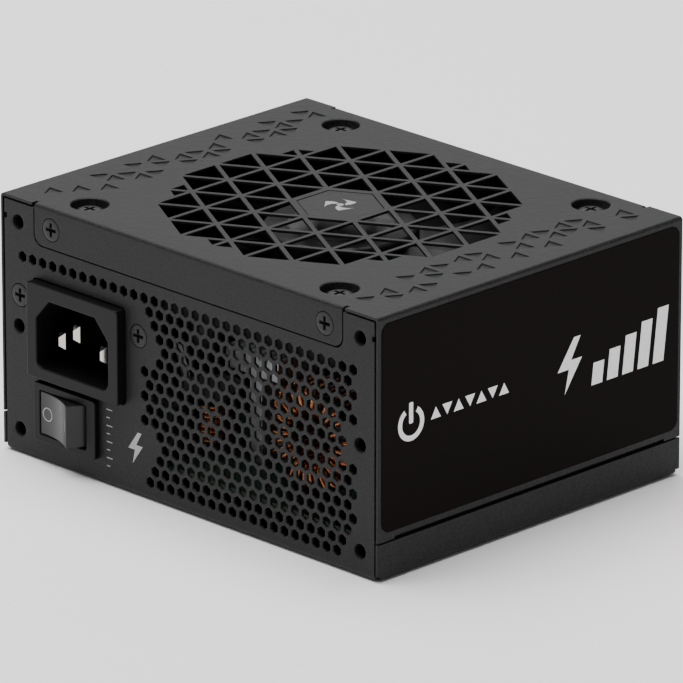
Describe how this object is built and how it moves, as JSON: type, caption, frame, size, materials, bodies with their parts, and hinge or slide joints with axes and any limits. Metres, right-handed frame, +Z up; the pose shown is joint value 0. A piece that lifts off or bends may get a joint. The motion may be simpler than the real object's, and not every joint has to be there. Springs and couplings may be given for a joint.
{
  "type": "computer power supply unit",
  "caption": "Small boxed computer power supply with a triangle fan grille, honeycomb vents, mains inlet, rocker switch and modular sockets.",
  "frame": {"origin": "centre of the underside of the case", "axes": "+X along the width, with the rocker switch at -X seen from the inlet face; +Y from the inlet face to the socket face; +Z up to the fan grille"},
  "size_m": [0.125, 0.1047, 0.0635],
  "materials": {
    "powder_coat": "fine-grained satin powder coat",
    "printed_film": "satin printed film",
    "screw_steel": "black coated",
    "shaft_steel": "ground",
    "plated_brass": "bright nickel plate",
    "aluminium": "plain extruded",
    "copper": "enamelled copper wire",
    "ferrite": "matt",
    "circuit_board": "solder mask",
    "capacitor_sleeve": "shrink sleeve",
    "black_plastic": "fine-grained moulding",
    "wire_black": "soft insulation",
    "wire_white": "soft insulation",
    "wire_green": "soft insulation"
  },
  "bodies": {
    "case": {"bottom_tray": "powder_coat", "bridge_rectifier": "black_plastic", "bulk_capacitor": "capacitor_sleeve", "choke_core": "ferrite", "choke_winding": "copper", "connector_panel": "powder_coat", "cover_screw_front_left": "screw_steel", "cover_screw_front_right": "screw_steel", "cover_screw_rear_left": "screw_steel", "cover_screw_rear_right": "screw_steel", "earth_blade": "plated_brass", "fan_bearing": "plated_brass", "fan_frame": "black_plastic", "fan_lead": "wire_black", "fan_screw_1": "screw_steel", "fan_screw_2": "screw_steel", "fan_screw_3": "screw_steel", "fan_screw_4": "screw_steel", "fan_stator": "copper", "grille_badge": "powder_coat", "heatsink_primary": "aluminium", "heatsink_secondary": "aluminium", "inlet_body": "black_plastic", "inlet_screw_left": "screw_steel", "inlet_screw_right": "screw_steel", "insulating_sheet": "printed_film", "live_blade": "plated_brass", "main_board": "circuit_board", "neutral_blade": "plated_brass", "output_capacitor_1": "capacitor_sleeve", "output_capacitor_2": "capacitor_sleeve", "output_capacitor_3": "capacitor_sleeve", "output_capacitor_4": "capacitor_sleeve", "rear_panel": "powder_coat", "side_label_left": "printed_film", "side_label_right": "printed_film", "socket_board": "circuit_board", "socket_board_10": "black_plastic", "socket_board_18": "black_plastic", "socket_drive_6_1": "black_plastic", "socket_drive_6_2": "black_plastic", "socket_power_8_1": "black_plastic", "socket_power_8_2": "black_plastic", "socket_power_8_3": "black_plastic", "switch_housing": "black_plastic", "switch_terminal_line": "plated_brass", "switch_terminal_load": "plated_brass", "top_cover": "powder_coat", "toroid_core": "ferrite", "toroid_winding": "copper", "transformer_core": "ferrite", "transformer_winding": "copper", "wire_earth": "wire_green", "wire_live": "wire_black", "wire_neutral": "wire_white", "x_capacitor": "capacitor_sleeve"},
    "rocker": {"switch_rocker": "black_plastic"},
    "fan": {"fan_rotor": "black_plastic", "fan_shaft": "shaft_steel", "fan_magnet": "ferrite"}
  },
  "joints": [
    {"name": "switch_rocker_hinge", "type": "hinge", "parent": "case", "child": "rocker", "pos_m": [-0.04027, -0.04685, 0.01282], "axis": [0, 0, 1], "range_deg": [0, 30]},
    {"name": "fan_spin", "type": "hinge", "parent": "case", "child": "fan", "pos_m": [0, 0, 0.0525], "axis": [0, 0, 1], "continuous": true}
  ]
}
